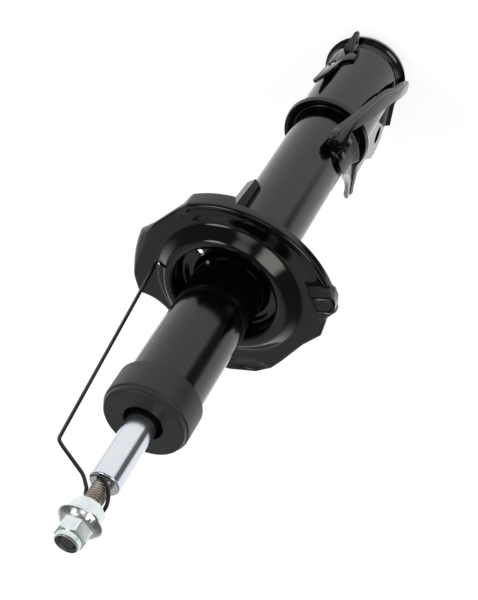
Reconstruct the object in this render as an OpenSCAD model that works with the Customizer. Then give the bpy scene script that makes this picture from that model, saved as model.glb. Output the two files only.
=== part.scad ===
// Front suspension strut: twin-tube damper with spring seat, knuckle bracket and retaining wire.
// Millimetres. +Z runs along the strut towards the rod's stud, from the centre of the tube's bottom face.
// +X runs along the knuckle bolts, and the knuckle enters between the flanges from -Y.

/* [Reservoir tube] */
// Outside diameter of the reservoir tube
tube_d = 51; // [49:0.5:53]
// Wall of the reservoir tube
tube_wall = 2.2; // [1.8:0.1:2.6]
// Length of the reservoir tube
tube_len = 418; // [405:1:440]
// Outside diameter of the inner pressure tube
pressure_tube_d = 35; // [33:0.5:37]
// Wall of the pressure tube
pressure_tube_wall = 1.5; // [1.2:0.1:2]

/* [Rod] */
// Diameter of the piston rod
rod_d = 20; // [18:0.5:22]
// How far the rod stands out of the cap when the wire holds it
rod_shown = 51.7; // [45:0.5:60]
// Nominal diameter of the stud on the rod
stud_d = 12; // [11:0.5:13]
// Length of the stud
stud_len = 45; // [42:0.5:48]
// Travel of the rod from the held position to the rebound stop
rod_travel = 150; // [120:1:160]
// Height of the piston's lower face when the wire holds the rod
piston_z = 76; // [70:1:90]
// Length of the piston
piston_len = 20; // [16:1:24]

/* [Nuts] */
// Distance from the rod's shoulder to the plain nut
nut_gap = 18.2; // [16:0.1:20]
// Width across flats of the plain nut
hex_nut_af = 19; // [17:0.5:20]
// Thickness of the plain nut
hex_nut_h = 10; // [9:0.5:10.5]
// Width across flats of the flange nut
flange_nut_af = 18; // [17:0.5:19]
// Diameter of the flange nut's flange
flange_nut_d = 28.4; // [26:0.2:30]

/* [Bump cap] */
// Outside diameter of the bump cap
cap_d = 58; // [56:0.5:60]
// Height of the bump cap
cap_h = 24.8; // [22:0.2:28]
// Thickness of the bump cap's top
cap_top = 5.4; // [4.5:0.1:7]
// Diameter of the hole in the bump cap
cap_hole_d = 27; // [25:0.5:30]

/* [Spring seat] */
// Height of the seat's floor above the tube's bottom
seat_z = 295; // [285:1:305]
// Radius of the seat's rim
seat_r = 74.8; // [72:0.2:77]
// Distance that the seat's rim is set off towards +X and +Y
seat_offset = 3; // [2:0.1:4]
// Thickness of the seat's sheet
seat_t = 2.8; // [2.4:0.1:3.2]
// Height of the rolled rim above the seat's floor
seat_rim_h = 3; // [2.5:0.1:4]
// Depth of the neck that joins the seat to the tube
seat_neck_h = 44; // [38:1:50]
// Diameter of the drain hole in the neck
drain_d = 10; // [8:0.5:12]
// Angle of the drain hole round the strut
drain_angle = 187; // [180:1:195]
// Angle of the middle of the spring stop
stop_angle = 23; // [18:1:28]
// Number of gusset legs under the seat
leg_count = 3; // [2:1:3]
// Thickness of a gusset leg
leg_t = 8; // [6:0.5:10]

/* [Knuckle bracket] */
// Thickness of the bracket's sheet
bracket_t = 3.4; // [3:0.1:3.4]
// Height of the bracket's lower lip above the tube's bottom
wrap_z0 = 8; // [6:0.5:12]
// Height of the bracket's wrap from lip to lip
wrap_h = 97.5; // [94:0.5:102]
// How far the lips flare out from the wrap
lip_out = 4.9; // [4:0.1:5.5]
// Gap between the two flanges, where the knuckle fits
knuckle_gap = 41.8; // [40:0.2:43]
// Diameter of the knuckle bolt holes
bolt_hole_d = 14.5; // [12.5:0.5:15]
// Distance of the knuckle bolts from the strut's axis
bolt_back = 40.5; // [40:0.5:42]
// Height of the lower knuckle bolt above the tube's bottom
bolt_low_z = 29; // [28:0.5:31]
// Distance between the knuckle bolts
bolt_pitch = 59; // [57:0.5:60]
// Radius of the lower ear round its bolt hole
ear_r = 20.5; // [19:0.5:21]

/* [Side bracket] */
// Thickness of the side bracket's sheet
side_t = 2.8; // [2.4:0.1:3.2]
// Height of the top of the side bracket's saddle
saddle_top = 147; // [143:1:152]
// Height of the lower edge of the side bracket's saddle
saddle_low = 117; // [115:1:120]
// Distance of the side bracket's arm from the strut's axis
arm_r = 34.6; // [34.6:0.1:36]

/* [Hose bracket] */
// Thickness of the hose bracket's sheet
hose_t = 2.2; // [1.8:0.1:2.6]
// Height of the hose bracket's lower edge above the tube's bottom
hose_z = 20; // [18:0.5:24]
// Height of the hose bracket's saddle
hose_h = 40; // [36:1:46]

/* [Retaining wire] */
// Diameter of the retaining wire
wire_d = 2.5; // [2:0.1:2.6]
// Angle of the wire's foot round the strut
wire_angle = 178; // [176:1:180]
// Distance of the wire's foot from the strut's axis
wire_foot_r = 52.5; // [52:0.5:54]

/* [Hidden] */
$fn = 96;

// Small amounts used by more than one piece
eps = 0.01;          // overlap of shapes joined into one solid
hair = 0.03;         // how much slimmer a sheet is where it reaches into its neighbour
fit = 0.05;          // radial clearance of a running fit
seat_gap = 0.3;      // clearance between a piece and what carries it

// Tubes
tube_r = tube_d / 2;
bore_r = tube_r - tube_wall;
pressure_r = pressure_tube_d / 2;
cylinder_r = pressure_r - pressure_tube_wall;
roll_h = tube_wall;                      // the tube's end is rolled in by its own wall
roll_r = tube_r - 8;
cap_floor_z = 3;                         // thickness of the base cap's floor
valve_h = 14;
valve_z = cap_floor_z + 3;
pressure_z0 = valve_z + 5;
washer_h = 1.5;
seal_h = 5;
washer_top = tube_len - roll_h - fit;
seal_top = washer_top - washer_h;
guide_top = seal_top - seal_h;
guide_h = 22;
guide_flange_h = 9;
pressure_z1 = guide_top - guide_flange_h;

// Rod and what it carries
rod_r = rod_d / 2;
stud_r = stud_d / 2;
cap_bottom = tube_len + seat_gap - cap_h + cap_top;
cap_z1 = cap_bottom + cap_h;
shoulder_z = cap_z1 + rod_shown;
stud_z1 = shoulder_z + stud_len;
nose_r = 6;
nose_len = 14;
piston_z1 = piston_z + piston_len;
band_h = 8;
band_t = 1.2;
band_z = piston_z + (piston_len - band_h) / 2;
shim_h = 0.6;
bumper_h = 8;
guide_low_z = guide_top - guide_h;
bumper_z1 = guide_low_z - rod_travel - seat_gap;
stop_h = 4;
stop_ring_z = bumper_z1 - bumper_h - stop_h;
bush_t = 1.2;

// Nuts on the stud
hex_nut_z = shoulder_z + nut_gap;
flange_nut_z = hex_nut_z + hex_nut_h;
flange_h = 5.2;
flange_nut_h = 14.1;
collar_h = 4.1;
collar_r = 8;

// Seat
seat_c = [seat_offset, seat_offset];
ring_r = 51;                             // foot of the raised ring
crest_r = 45;                            // crest of the raised ring
throat_r = 40;                           // where the neck turns down
ring_h = 8;                              // height of the crest above the floor
neck_r = tube_r + seat_gap;
seat_low = seat_z - seat_t;
neck_z0 = seat_z - seat_neck_h;
rim_drop = 8;                            // how far the rolled rim hangs below the floor
left_flat = [142, 66.5];                 // direction and distance of the flat beside the wire
right_flat = [-28, 63];                  // direction and distance of the flat by the side bracket
scallop = [-136, 84, 27];                // direction, distance and radius of the scallop
leg_first = 134;
leg_pitch = 83;
leg_z0 = 206;
leg_foot_r = 31;
leg_head_r = 46;

// Knuckle bracket: the wall's outer face is the path that the sheet follows
wrap_r = tube_r + seat_gap + bracket_t;
flange_x = knuckle_gap / 2 + bracket_t;
bend_r = 20;
bend_y = sqrt(pow(wrap_r + bend_r, 2) - pow(flange_x + bend_r, 2));
bend_a = asin(bend_y / (wrap_r + bend_r));
lip_sweep = 75;
lip_r = lip_out / (1 - cos(lip_sweep));
lip_h = (lip_r + bracket_t) * sin(lip_sweep);
wrap_z1 = wrap_z0 + wrap_h;
bolt_high_z = bolt_low_z + bolt_pitch;
low_lip_end = 41;
top_lip_end = 46;
flange_end = bolt_back + ear_r;

// Side bracket
saddle_r = tube_r + seat_gap;
saddle_out = saddle_r + side_t;
skirt_out = 32;
skirt_h = 9;
arm_out = arm_r + side_t;
arm_top = 143;
saddle_end = 44;
plug_a = 33;
plug_z = 139;

// Hose bracket
hose_r = wrap_r + seat_gap;
hose_out = hose_r + hose_t;
hose_a0 = 86;
hose_a1 = 134;

// Retaining wire: the leg runs in the plane at wire_angle, and the hook goes round the stud
wire_r = wire_d / 2;
wire_rise = 1.1;                         // height of the wire's pivot above the seat's floor
wire_pivot_z = seat_z + wire_rise;
wire_toe = 2.7;
wire_hole_r = 2.9;
hook_r = stud_r + wire_r + 0.75;
hook_mid_z = shoulder_z + 8.5;
hook_rise = 7.0;
hook_end_a = 115;
hook_start_a = 185;
hook_step = 10;

// ---- shared shapes ----

// A tube or ring between two radii, from z upwards
module ring(r_out, r_in, h, z = 0) {
    translate([0, 0, z])
        difference() {
            cylinder(r = r_out, h = h);
            translate([0, 0, -1])
                cylinder(r = r_in, h = h + 2);
        }
}

// A solid between two radii that covers the angles a0 to a1 only
module sector(r_out, r_in, a0, a1, z0, z1) {
    rotate([0, 0, a0])
        rotate_extrude(angle = a1 - a0)
            translate([r_in, z0])
                square([r_out - r_in, z1 - z0]);
}

// A hexagonal prism by its width across flats
module hexagon(af, h) {
    cylinder(r = af / sqrt(3), h = h, $fn = 6);
}

// Direction of a route at its point i
function tangent(p, i) = unit(p[min(i + 1, len(p) - 1)] - p[max(i - 1, 0)]);
function unit(v) = v / norm(v);

// Sideways direction at each point of a route, turned as little as possible from one to the next
function sideways(p, start, i = 0) = i == len(p) ? []
    : let (t = tangent(p, i), n = unit(start - (start * t) * t)) concat([n], sideways(p, n, i + 1));

// Points of a rounded corner at b, which starts and ends at the distance d from it
function bend(a, b, c, d, steps = 5) = let (p = b + d * unit(a - b), q = b + d * unit(c - b))
    [for (i = [0 : steps]) let (k = i / steps) (1 - k) * (1 - k) * p + 2 * k * (1 - k) * b + k * k * q];

// A round wire of one radius along a route
module wire_along(p, r, start, sides = 10) {
    count = len(p);
    side = sideways(p, start);
    points = [for (i = [0 : count - 1]) let (u = side[i], v = cross(tangent(p, i), u))
        for (k = [0 : sides - 1]) p[i] + r * (cos(360 * k / sides) * u + sin(360 * k / sides) * v)];
    walls = [for (i = [0 : count - 2], k = [0 : sides - 1])
        let (a = i * sides + k, b = i * sides + (k + 1) % sides, up = sides) each [[a, a + up, b], [b, a + up, b + up]]];
    ends = [[for (k = [0 : sides - 1]) k], [for (k = [sides - 1 : -1 : 0]) (count - 1) * sides + k]];
    polyhedron(points, concat(walls, ends));
}

// ---- damper body ----

module reservoir_tube() {
    color("#16181a")
        rotate_extrude()
            polygon([[bore_r, 0], [tube_r, 0], [tube_r, tube_len - roll_h], [tube_r - 2, tube_len],
                [roll_r, tube_len], [roll_r, tube_len - roll_h], [bore_r, tube_len - roll_h]]);
}

// Pressed cup that closes the tube's bottom
module base_cap() {
    cup_r = bore_r - fit;
    cup_h = 12;
    color("#202224")
        rotate_extrude()
            polygon([[0, 0], [cup_r, 0], [cup_r, cup_h], [cup_r - cap_floor_z, cup_h],
                [cup_r - cap_floor_z, cap_floor_z], [0, cap_floor_z]]);
}

module pressure_tube() {
    color("#8b8f94")
        ring(pressure_r, cylinder_r, pressure_z1 - pressure_z0, pressure_z0);
}

// Foot valve that stands in the base cap and closes the pressure tube
module base_valve() {
    port_r = 1.6;
    port_circle = 10;
    skirt_r = pressure_r - 1;
    color("#9a9da1")
        difference() {
            rotate_extrude()
                polygon([[0, valve_z], [skirt_r - 3, valve_z], [skirt_r - 3, cap_floor_z], [skirt_r, cap_floor_z],
                    [skirt_r, valve_z], [pressure_r, valve_z + 1], [pressure_r, pressure_z0 - fit],
                    [cylinder_r - fit, pressure_z0 - fit], [cylinder_r - fit, valve_z + valve_h],
                    [0, valve_z + valve_h]]);
            for (a = [0 : 60 : 300])
                rotate([0, 0, a])
                    translate([port_circle, 0, valve_z - 1])
                        cylinder(r = port_r, h = valve_h + 2, $fn = 24);
        }
}

module base_valve_disc() {
    disc_r = 13;
    head_r = 4;
    head_h = 2.4;
    color("#b0b3b6") {
        translate([0, 0, valve_z + valve_h])
            cylinder(r = disc_r, h = shim_h);
        translate([0, 0, valve_z + valve_h])
            cylinder(r = head_r, h = head_h);
    }
}

// Guide that centres the pressure tube and carries the bush and the seal
module rod_guide() {
    land_r = cylinder_r - fit;
    bush_r = rod_r + fit + bush_t;
    color("#75797d")
        rotate_extrude()
            polygon([[bush_r, guide_low_z], [land_r, guide_low_z], [land_r, pressure_z1],
                [bore_r - fit, pressure_z1], [bore_r - fit, guide_top], [bush_r, guide_top]]);
}

module guide_bush() {
    bush_h = guide_h - 6;
    color("#b08d4f")
        ring(rod_r + fit + bush_t, rod_r + fit, bush_h, guide_low_z);
}

module rod_seal() {
    lip_w = 2.5;
    color("#1b1b1b")
        rotate_extrude()
            polygon([[rod_r + fit, guide_top + 1], [rod_r + fit + lip_w, guide_top], [bore_r - fit, guide_top],
                [bore_r - fit, seal_top], [rod_r + fit + lip_w, seal_top], [rod_r + fit, seal_top - 1]]);
}

module seal_washer() {
    color("#8f9296")
        ring(bore_r - fit, rod_r + 1.2, washer_h, seal_top);
}

// Cap that the bump stop strikes, pressed over the tube's top
module bump_cap() {
    cap_r = cap_d / 2;
    crease_r = cap_r - 1;
    crown_r = cap_r - 2.7;
    crown_h = 3.3;
    skirt_r = tube_r + seat_gap;
    inside_z = cap_z1 - cap_top;
    color("#35393a")
        rotate_extrude()
            polygon([[skirt_r, cap_bottom], [cap_r - 0.6, cap_bottom], [cap_r, cap_bottom + 0.6],
                [cap_r, cap_z1 - crown_h - 1.6], [cap_r - 0.3, cap_z1 - crown_h - 0.6],
                [crease_r, cap_z1 - crown_h], [cap_r - 1.4, cap_z1 - 1.6], [cap_r - 1.9, cap_z1 - 0.5],
                [crown_r, cap_z1], [cap_hole_d / 2, cap_z1], [cap_hole_d / 2, inside_z], [skirt_r, inside_z]]);
}

// ---- knuckle bracket ----

// Point on the flare of a lip: r from the flare's centre, turned by a, at the height z of the wall's end
function lip_point(r, a, z, up) = [lip_r - r * cos(a), z + up * r * sin(a)];

// Cross-section of the wrap: plain wall with a flared lip at each end, x from the wall's outer face.
// slim takes that much off each face.
module wrap_profile(slim = 0) {
    sweep = lip_sweep - slim * 10;
    step = sweep / 5;
    inner = lip_r + slim;
    outer = lip_r + bracket_t - slim;
    top_z = wrap_z1 - lip_h;
    low_z = wrap_z0 + lip_h;
    polygon(concat(
        [for (i = [0 : 5]) lip_point(inner, i * step, top_z, 1)],
        [for (i = [5 : -1 : 0]) lip_point(outer, i * step, top_z, 1)],
        [for (i = [0 : 5]) lip_point(outer, i * step, low_z, -1)],
        [for (i = [5 : -1 : 0]) lip_point(inner, i * step, low_z, -1)]));
}

// Sweeps the cross-section round the tube, through the reverse bends and along the flanges. The bends
// are slimmer by a hair and reach a little way into the pieces on both sides of them.
module follow_wrap() {
    reach = 1.2;
    rotate([0, 0, -bend_a])
        rotate_extrude(angle = 180 + 2 * bend_a)
            translate([wrap_r, 0])
                wrap_profile();
    for (side = [0, 1])
        mirror([side, 0, 0]) {
            translate([flange_x + bend_r, -bend_y, 0])
                rotate([0, 0, 180 - bend_a - reach])
                    rotate_extrude(angle = bend_a + 2 * reach)
                        translate([bend_r, 0])
                            mirror([1, 0])
                                wrap_profile(hair);
            translate([flange_x, -bend_y, 0])
                rotate([90, 0, 0])
                    linear_extrude(flange_end - bend_y)
                        wrap_profile();
        }
}

// Side view of where the flared lips run: x is Y, y is Z
module lip_reach() {
    mid_z = (wrap_z0 + wrap_z1) / 2;
    translate([-low_lip_end, 0])
        square([low_lip_end + 2 * wrap_r, mid_z]);
    translate([-top_lip_end, mid_z - eps])
        square([top_lip_end + 2 * wrap_r, wrap_z1]);
}

// Side view of the flat flange with its two ears: x is Y, y is Z
module flange_outline() {
    ear_top = wrap_z1 - lip_h;
    ear_end = bolt_back + 16;
    corner = 6;
    waist = bolt_back + 1;
    translate([-bolt_back, bolt_low_z])
        circle(r = ear_r);
    translate([-bolt_back, wrap_z0 + eps])
        square([bolt_back - bend_y, ear_top - wrap_z0]);
    polygon([[-bolt_back - ear_r * cos(20), bolt_low_z + ear_r * sin(20)], [-waist, bolt_low_z + 36],
        [-bend_y, bolt_low_z + 36], [-bend_y, bolt_low_z]]);
    translate([-waist, bolt_low_z])
        square([waist - bend_y, bolt_pitch]);
    translate([-ear_end + corner, bolt_high_z - 11 + corner])
        circle(r = corner);
    translate([-ear_end, bolt_high_z - 11 + corner])
        square([ear_end - bend_y, ear_top - bolt_high_z + 11 - corner]);
    translate([-ear_end + corner, bolt_high_z - 11])
        square([ear_end - corner - bend_y, ear_top - bolt_high_z + 11]);
}

module bolt_holes(d) {
    for (z = [bolt_low_z, bolt_high_z])
        translate([0, -bolt_back, z])
            rotate([0, 90, 0])
                cylinder(d = d, h = 4 * flange_x, center = true);
}

module knuckle_bracket() {
    color("#17191b")
        difference() {
            union() {
                intersection() {
                    follow_wrap();
                    rotate([90, 0, 90])
                        linear_extrude(6 * wrap_r, center = true)
                            lip_reach();
                }
                for (side = [0, 1])
                    mirror([side, 0, 0])
                        translate([flange_x - bracket_t, 0, 0])
                            rotate([90, 0, 90])
                                linear_extrude(bracket_t)
                                    flange_outline();
            }
            bolt_holes(bolt_hole_d);
        }
}

// Hat-shaped piece that closes the wrap behind the tube and stiffens the flanges
module inner_bracket() {
    web_in = tube_r + seat_gap;
    web_out = web_in + bracket_t;
    side_out = knuckle_gap / 2 - seat_gap / 3;
    side_in = side_out - bracket_t;
    z0 = wrap_z0 + lip_h;
    h = wrap_h - 2 * lip_h;
    side_len = 33;
    color("#17191b")
        difference() {
            translate([0, 0, z0])
                linear_extrude(h)
                    union() {
                        intersection() {
                            difference() {
                                circle(r = web_out);
                                circle(r = web_in);
                            }
                            translate([-side_out, -2 * web_out])
                                square([2 * side_out, 2 * web_out - 12]);
                        }
                        for (side = [-1, 1])
                            translate([side * (side_in + side_out) / 2 - bracket_t / 2, -side_len])
                                difference() {
                                    square([bracket_t, side_len - 18]);
                                    translate([-side * (side_in + side_out) / 2 + bracket_t / 2, side_len])
                                        circle(r = web_in);
                                }
                    }
            bolt_holes(bolt_hole_d);
        }
}

// Weld beads between the wrap and the tube, down in the flared lips
module bracket_weld() {
    bead = 2;
    depth = 3.1;                         // how far the bead lies down in the lip
    inner = tube_r + eps;
    color("#1c1e20")
        for (z = [wrap_z1 - depth, wrap_z0 + depth])
            rotate([0, 0, -10])
                rotate_extrude(angle = 200)
                    translate([inner + bead / 2, z])
                        circle(d = bead, $fn = 24);
}

// ---- side bracket ----

// Side view of the saddle's wall: x is Y, y is Z
module saddle_outline() {
    polygon([[24, saddle_low + 7], [23.5, saddle_top - 14], [20, saddle_top - 3], [15, saddle_top],
        [10, saddle_top], [3, saddle_top - 3.5], [-8, saddle_top - 12], [-16, saddle_top - 20],
        [-26, saddle_top - 27], [-saddle_end, saddle_top - 34], [-saddle_end, saddle_low - 8],
        [-26, saddle_low - 4], [0, saddle_low + 7]]);
}

// Side view of the arm: x is Y, y is Z
module arm_outline() {
    front = [[3, 11], [8, 13], [14.5, 32], [17, 44], [21.5, 53], [24, 65], [26.2, 80], [28.6, 96], [30.6, 115],
        [32, 128], [32.6, 138], [31, arm_top]];
    back = [[27, arm_top], [28.2, 123], [23.5, 101], [18.4, 78.5], [12.3, 54], [3, 30], [0, 20], [-2, 14]];
    polygon(concat(front, back));
}

module side_bracket() {
    saddle_a0 = 0;
    saddle_a1 = 66;
    skirt_top = saddle_low + skirt_h;
    color("#17191b") {
        intersection() {
            union() {
                sector(saddle_out, saddle_r, saddle_a0, saddle_a1, 90, 160);
                translate([saddle_r + hair, -saddle_end, 90])
                    cube([side_t - 2 * hair, saddle_end + 0.8, 70]);
            }
            rotate([90, 0, 90])
                linear_extrude(3 * arm_out)
                    saddle_outline();
        }
        // flared skirt below the saddle
        rotate([0, 0, saddle_a0])
            rotate_extrude(angle = 46)
                polygon([[saddle_r + hair, skirt_top + 2], [saddle_out - hair, skirt_top + 2],
                    [saddle_out - hair, skirt_top], [skirt_out + 0.6, saddle_low + 2],
                    [skirt_out, saddle_low], [saddle_r + 1.5, skirt_top - 3.5], [saddle_r + hair, skirt_top]]);
        // arm that runs down over the lips
        intersection() {
            sector(arm_out, arm_r, -8, 70, 5, 150);
            rotate([90, 0, 90])
                linear_extrude(3 * arm_out)
                    arm_outline();
        }
        // shoulder that joins the arm to the saddle
        intersection() {
            rotate([0, 0, 42])
                rotate_extrude(angle = 24)
                    polygon([[saddle_r + hair, arm_top - 4], [saddle_r + hair, arm_top - 0.5],
                        [saddle_out, arm_top + 1], [arm_r + 1.5, arm_top - 1.2], [arm_out - hair, arm_top - 5],
                        [arm_out - hair, arm_top - 12], [arm_r + hair, arm_top - 12],
                        [arm_r + hair, arm_top - 6], [saddle_out, arm_top - 2.5]]);
            rotate([90, 0, 90])
                linear_extrude(3 * arm_out)
                    polygon([[18, 120], [33, 120], [33, 150], [18, 150]]);
        }
    }
}

// Plug that fixes the saddle to the tube
module side_bracket_plug() {
    color("#1d1f21")
        rotate([0, 0, plug_a])
            translate([saddle_out, 0, plug_z])
                rotate([0, 90, 0])
                    cylinder(r = 2.6, h = 1.2, $fn = 32);
}

// ---- hose bracket ----

module hose_bracket() {
    mid_a = 108;
    ear_w = 13;
    ear_len = 13;
    color("#17191b") {
        difference() {
            sector(hose_out, hose_r, hose_a0, hose_a1, hose_z, hose_z + hose_h);
            rotate([0, 0, hose_a1])
                translate([hose_r - 2, -2, hose_z + 28])
                    rotate([0, 90, 0])
                        cylinder(r = 4.2, h = 8, $fn = 32);
            rotate([0, 0, hose_a0 - 4])
                translate([hose_r - 2, 0, hose_z + hose_h])
                    rotate([0, 90, 0])
                        cylinder(r = 16, h = 8);
        }
        // standing ear at the lower edge
        rotate([0, 0, mid_a])
            translate([hose_r + hose_t / 2, 0, hose_z])
                rotate([0, 40, 0])
                    translate([0, 0, -hose_t / 2])
                        linear_extrude(hose_t)
                            difference() {
                                polygon([[-1, -ear_w / 2], [ear_len - 2, -1.5], [ear_len, 0], [ear_len - 2, 1.5],
                                    [-1, ear_w / 2]]);
                                translate([4, 0])
                                    circle(r = 1.7, $fn = 32);
                            }
        // wing that leans out at the upper corner
        rotate([0, 0, hose_a1 - 7])
            translate([hose_r + hose_t / 2, 0, hose_z + hose_h - 16])
                rotate([0, -79, 0])
                    translate([0, 0, -hose_t / 2])
                        linear_extrude(hose_t)
                            polygon([[0, -5], [30, -2.5], [33, 0], [32, 2.5], [18, 4.5], [0, 4.5]]);
    }
}

// ---- spring seat ----

// Plan view of the seat: rim circle with its flats and scallop
module seat_plan(inset) {
    difference() {
        translate(seat_c)
            circle(r = seat_r - inset);
        for (flat = [left_flat, right_flat])
            rotate(flat[0])
                translate([flat[1] - inset, -2 * seat_r])
                    square([2 * seat_r, 4 * seat_r]);
        rotate(scallop[0])
            translate([scallop[1], 0])
                circle(r = scallop[2] + inset);
    }
}

// Raised ring, throat and neck, turned about the strut's axis
module seat_ring() {
    rotate_extrude()
        polygon([[neck_r, neck_z0], [neck_r + seat_t, neck_z0 + 1], [neck_r + seat_t + 1.5, neck_z0 + 12],
            [throat_r - 1, seat_z - 4], [throat_r + 1.5, seat_z + ring_h - 3.4],
            [crest_r - 1.5, seat_z + ring_h - seat_t], [crest_r + 1, seat_z + ring_h - seat_t - 0.6],
            [ring_r - 3, seat_low], [ring_r + 4, seat_low], [ring_r + 4, seat_z], [ring_r, seat_z],
            [ring_r - 0.8, seat_z + 1.2], [crest_r + 3.5, seat_z + ring_h - 2], [crest_r + 1.5, seat_z + ring_h - 0.5],
            [crest_r - 1, seat_z + ring_h], [throat_r + 1, seat_z + ring_h - 0.8],
            [throat_r - 1.6, seat_z + ring_h - 4], [neck_r + 2.2, neck_z0 + 14], [neck_r, neck_z0 + 8]]);
}

module spring_seat() {
    rim_in = 6.5;
    color("#141618")
        difference() {
            union() {
                seat_ring();
                // floor
                translate([0, 0, seat_low])
                    linear_extrude(seat_t)
                        difference() {
                            seat_plan(3);
                            circle(r = ring_r + 2);
                        }
                // rolled rim
                intersection() {
                    translate([seat_c[0], seat_c[1], 0])
                        rotate_extrude()
                            polygon([[seat_r - rim_in - 3, seat_low], [seat_r - rim_in + 1, seat_low],
                                [seat_r - 3.4, seat_z + seat_rim_h - seat_t], [seat_r - seat_t, seat_z - 1.5],
                                [seat_r - seat_t, seat_z - rim_drop], [seat_r, seat_z - rim_drop],
                                [seat_r, seat_z + seat_rim_h - 2.6], [seat_r - 0.8, seat_z + seat_rim_h - 0.9],
                                [seat_r - 2.4, seat_z + seat_rim_h], [seat_r - 4, seat_z + seat_rim_h - 0.5],
                                [seat_r - rim_in, seat_z], [seat_r - rim_in - 3, seat_z]]);
                    translate([0, 0, seat_z - 2 * rim_drop])
                        linear_extrude(4 * rim_drop)
                            seat_plan(0);
                }
                // turned-down edges along the flats and the scallop
                translate([0, 0, seat_z - rim_drop])
                    linear_extrude(rim_drop)
                        intersection() {
                            difference() {
                                seat_plan(0);
                                seat_plan(seat_t);
                            }
                            translate(seat_c)
                                circle(r = seat_r - seat_t + eps);
                        }
            }
            rotate([0, 0, drain_angle])
                translate([neck_r - 1, 0, neck_z0 + 17])
                    rotate([0, 90, 0])
                        cylinder(d = drain_d, h = throat_r);
            rotate([0, 0, wire_angle])
                translate([wire_foot_r - 1.2, 0, seat_low - 1])
                    cylinder(r = wire_hole_r, h = seat_t + 5, $fn = 48);
        }
}

// Gusset legs that carry the seat on the tube
module seat_legs() {
    color("#141618")
        for (i = [0 : leg_count - 1])
            rotate([0, 0, leg_first + i * leg_pitch])
                rotate([90, 0, 0])
                    linear_extrude(leg_t, center = true)
                        polygon([[tube_r + seat_gap, leg_z0], [leg_foot_r, leg_z0], [leg_foot_r + 2, neck_z0 - 8],
                            [leg_head_r, seat_low - 14], [leg_head_r, seat_low - seat_gap],
                            [leg_head_r - 4, seat_low - seat_gap], [throat_r - 3, seat_z - 12],
                            [neck_r + seat_t + 5, neck_z0 + 11], [neck_r + seat_t + 1, neck_z0 - 1.5],
                            [tube_r + seat_gap, neck_z0 - 1.5]]);
}

// Pressed stop that the end of the spring rests against
module spring_stop() {
    stop_in = ring_r + 2;
    stop_out = 83.5;
    half_w = 13;
    color("#141618")
        difference() {
            rotate([0, 0, stop_angle])
                rotate([90, 0, 0])
                    linear_extrude(2 * half_w, center = true)
                        polygon([[stop_in, seat_z + seat_gap], [seat_r - 4, seat_z + seat_gap],
                            [seat_r - 4, seat_z + seat_rim_h + seat_gap], [stop_out, seat_z + seat_rim_h + seat_gap],
                            [stop_out, seat_z + 8], [stop_out - 4, seat_z + 12], [stop_in + 10, seat_z + 12],
                            [stop_in + 2, seat_z + 7]]);
            for (side = [-1, 1])
                rotate([0, 0, stop_angle])
                    translate([stop_out, side * (half_w + 3), seat_z + 12])
                        rotate([side * 40, 0, 0])
                            cube([80, 12, 24], center = true);
        }
}

// ---- rod and piston ----

module piston_band() {
    color("#a8753a")
        ring(cylinder_r - fit, cylinder_r - fit - band_t, band_h, band_z);
}

module piston() {
    land_r = cylinder_r - 0.3;
    groove_r = cylinder_r - 2 * fit - band_t;
    port_r = 1.8;
    port_circle = 11;
    color("#8a8d90")
        difference() {
            rotate_extrude()
                polygon([[nose_r + fit, piston_z], [land_r, piston_z], [land_r, band_z - fit],
                    [groove_r, band_z - fit], [groove_r, band_z + band_h + fit],
                    [land_r, band_z + band_h + fit], [land_r, piston_z1], [nose_r + fit, piston_z1]]);
            for (a = [0 : 45 : 315])
                rotate([0, 0, a])
                    translate([port_circle, 0, piston_z - 1])
                        cylinder(r = port_r, h = piston_len + 2, $fn = 24);
        }
}

module valve_shims() {
    color("#b9bcbf") {
        ring(12.5, nose_r + fit, shim_h, piston_z1);
        ring(12.5, nose_r + fit, shim_h, piston_z - shim_h);
    }
}

module piston_nut() {
    nut_h = 7;
    color("#a0a3a6")
        difference() {
            translate([0, 0, piston_z - shim_h - nut_h])
                hexagon(17, nut_h);
            translate([0, 0, piston_z - shim_h - nut_h - 1])
                cylinder(r = nose_r + fit, h = nut_h + 2);
        }
}

module rebound_stop() {
    color("#9b9ea1")
        ring(rod_r + 4, rod_r + fit, stop_h, stop_ring_z);
}

module rebound_bumper() {
    color("#2a2a2a")
        ring(rod_r + 3.4, rod_r + fit, bumper_h, stop_ring_z + stop_h);
}

// Chromed rod with a nose for the piston and a stud for the mount
module piston_rod() {
    nose_z = piston_z - nose_len;
    seat_face = piston_z1 + shim_h;
    color("#d8dbde")
        rotate_extrude()
            polygon([[0, nose_z], [nose_r - 1, nose_z], [nose_r, nose_z + 1], [nose_r, seat_face],
                [rod_r - 0.8, seat_face], [rod_r, seat_face + 0.8], [rod_r, shoulder_z - 1],
                [rod_r - 1, shoulder_z], [stud_r, shoulder_z], [stud_r, stud_z1 - 1.2],
                [stud_r - 1.2, stud_z1], [0, stud_z1]]);
}

// ---- nuts ----

// Hexagon with its corners turned off at both ends
module chamfered_hex(af, h, top_only = false) {
    corner = af / sqrt(3);
    cut = corner - af / 2;
    low = top_only ? 0 : 0.5 * cut;
    intersection() {
        hexagon(af, h);
        rotate_extrude()
            polygon([[0, 0], [corner - 2 * low, 0], [corner, low + eps], [corner, h - 0.5 * cut],
                [af / 2 - 0.2, h], [0, h]]);
    }
}

module hex_nut() {
    color("#c9ccd0")
        difference() {
            translate([0, 0, hex_nut_z])
                rotate([0, 0, 47.7])
                    chamfered_hex(hex_nut_af, hex_nut_h);
            translate([0, 0, hex_nut_z - 1])
                cylinder(r = stud_r + fit, h = hex_nut_h + 2);
        }
}

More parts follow.
